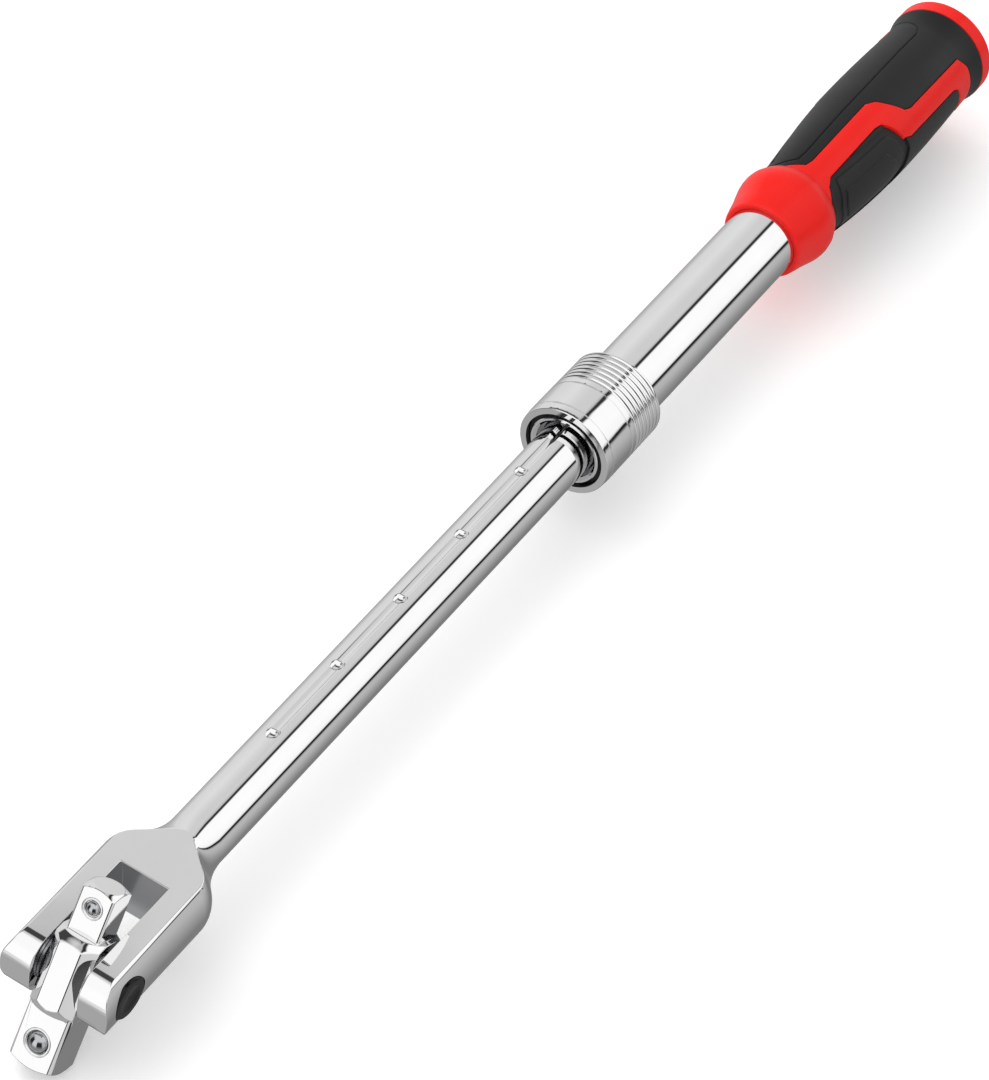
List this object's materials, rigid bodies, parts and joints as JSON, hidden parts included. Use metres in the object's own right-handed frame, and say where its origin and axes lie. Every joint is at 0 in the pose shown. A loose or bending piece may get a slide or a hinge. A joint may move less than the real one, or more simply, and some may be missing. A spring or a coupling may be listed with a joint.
{
  "type": "telescoping breaker bar",
  "caption": "Telescoping breaker bar with a soft-covered handle, a sprung lock collar, a sliding bar and a forked flex head that carries a large and a small square drive.",
  "frame": {"origin": "centre of the handle's flat end face, on the bar's axis", "axes": "+X along the bar from the handle to the head, +Z along the normal of the fork's flats, +Y out of the ear that holds the pivot pin's head"},
  "size_m": [0.4552, 0.0324, 0.0492],
  "materials": {
    "chromed_steel": "polished",
    "plain_steel": "machined",
    "black_steel": "black oxide, satin",
    "spring_steel": "drawn wire",
    "bearing_brass": "turned",
    "ball_steel": "ground",
    "red_plastic": "satin moulded",
    "black_rubber": "matt moulded"
  },
  "bodies": {
    "handle": {"outer_tube": "chromed_steel", "guide_bush": "plain_steel", "collar_stop_ring": "black_steel", "spring_seat_ring": "black_steel", "collar_spring": "spring_steel", "handle_core": "red_plastic", "soft_grip": "black_rubber", "end_cap": "red_plastic"},
    "bar": {"fork_bar": "chromed_steel", "tail_bush": "bearing_brass", "tail_ring": "black_steel", "pivot_pin": "black_steel", "friction_washer_right": "plain_steel", "friction_washer_left": "plain_steel"},
    "head": {"drive_hub": "chromed_steel", "large_ball_spring": "spring_steel", "small_ball_spring": "spring_steel"},
    "large_ball": {"large_drive_ball": "ball_steel"},
    "small_ball": {"small_drive_ball": "ball_steel"},
    "collar": {"lock_collar": "chromed_steel"},
    "detent_ball": {"lock_ball": "ball_steel"}
  },
  "joints": [
    {"name": "bar_slide", "type": "slide", "parent": "handle", "child": "bar", "axis": [1, 0, 0], "range_m": [-0.146, 0.0292]},
    {"name": "head_pivot", "type": "hinge", "parent": "bar", "child": "head", "pos_m": [0.436, 0, 0], "axis": [0, 1, 0], "continuous": true},
    {"name": "collar_slide", "type": "slide", "parent": "handle", "child": "collar", "axis": [-1, 0, 0], "range_m": [0, 0.0052], "stiffness_N_per_m": 1200, "springref_m": -0.003, "deforming": ["collar_spring"]},
    {"name": "lock_ball_lift", "type": "slide", "parent": "handle", "child": "detent_ball", "axis": [0, -0.225, 0.9744], "range_m": [0, 0.0007]},
    {"name": "half_inch_ball_press", "type": "slide", "parent": "head", "child": "large_ball", "axis": [-0.866, 0, -0.5], "range_m": [0, 0.00125], "stiffness_N_per_m": 1500, "springref_m": -0.002, "deforming": ["large_ball_spring"]},
    {"name": "three_eighths_ball_press", "type": "slide", "parent": "head", "child": "small_ball", "axis": [-0.866, 0, -0.5], "range_m": [0, 0.00085], "stiffness_N_per_m": 1200, "springref_m": -0.002, "deforming": ["small_ball_spring"]}
  ],
  "couplings": [
    {"joint": "lock_ball_lift", "follows": "collar_slide", "ratio": 0.1346}
  ]
}
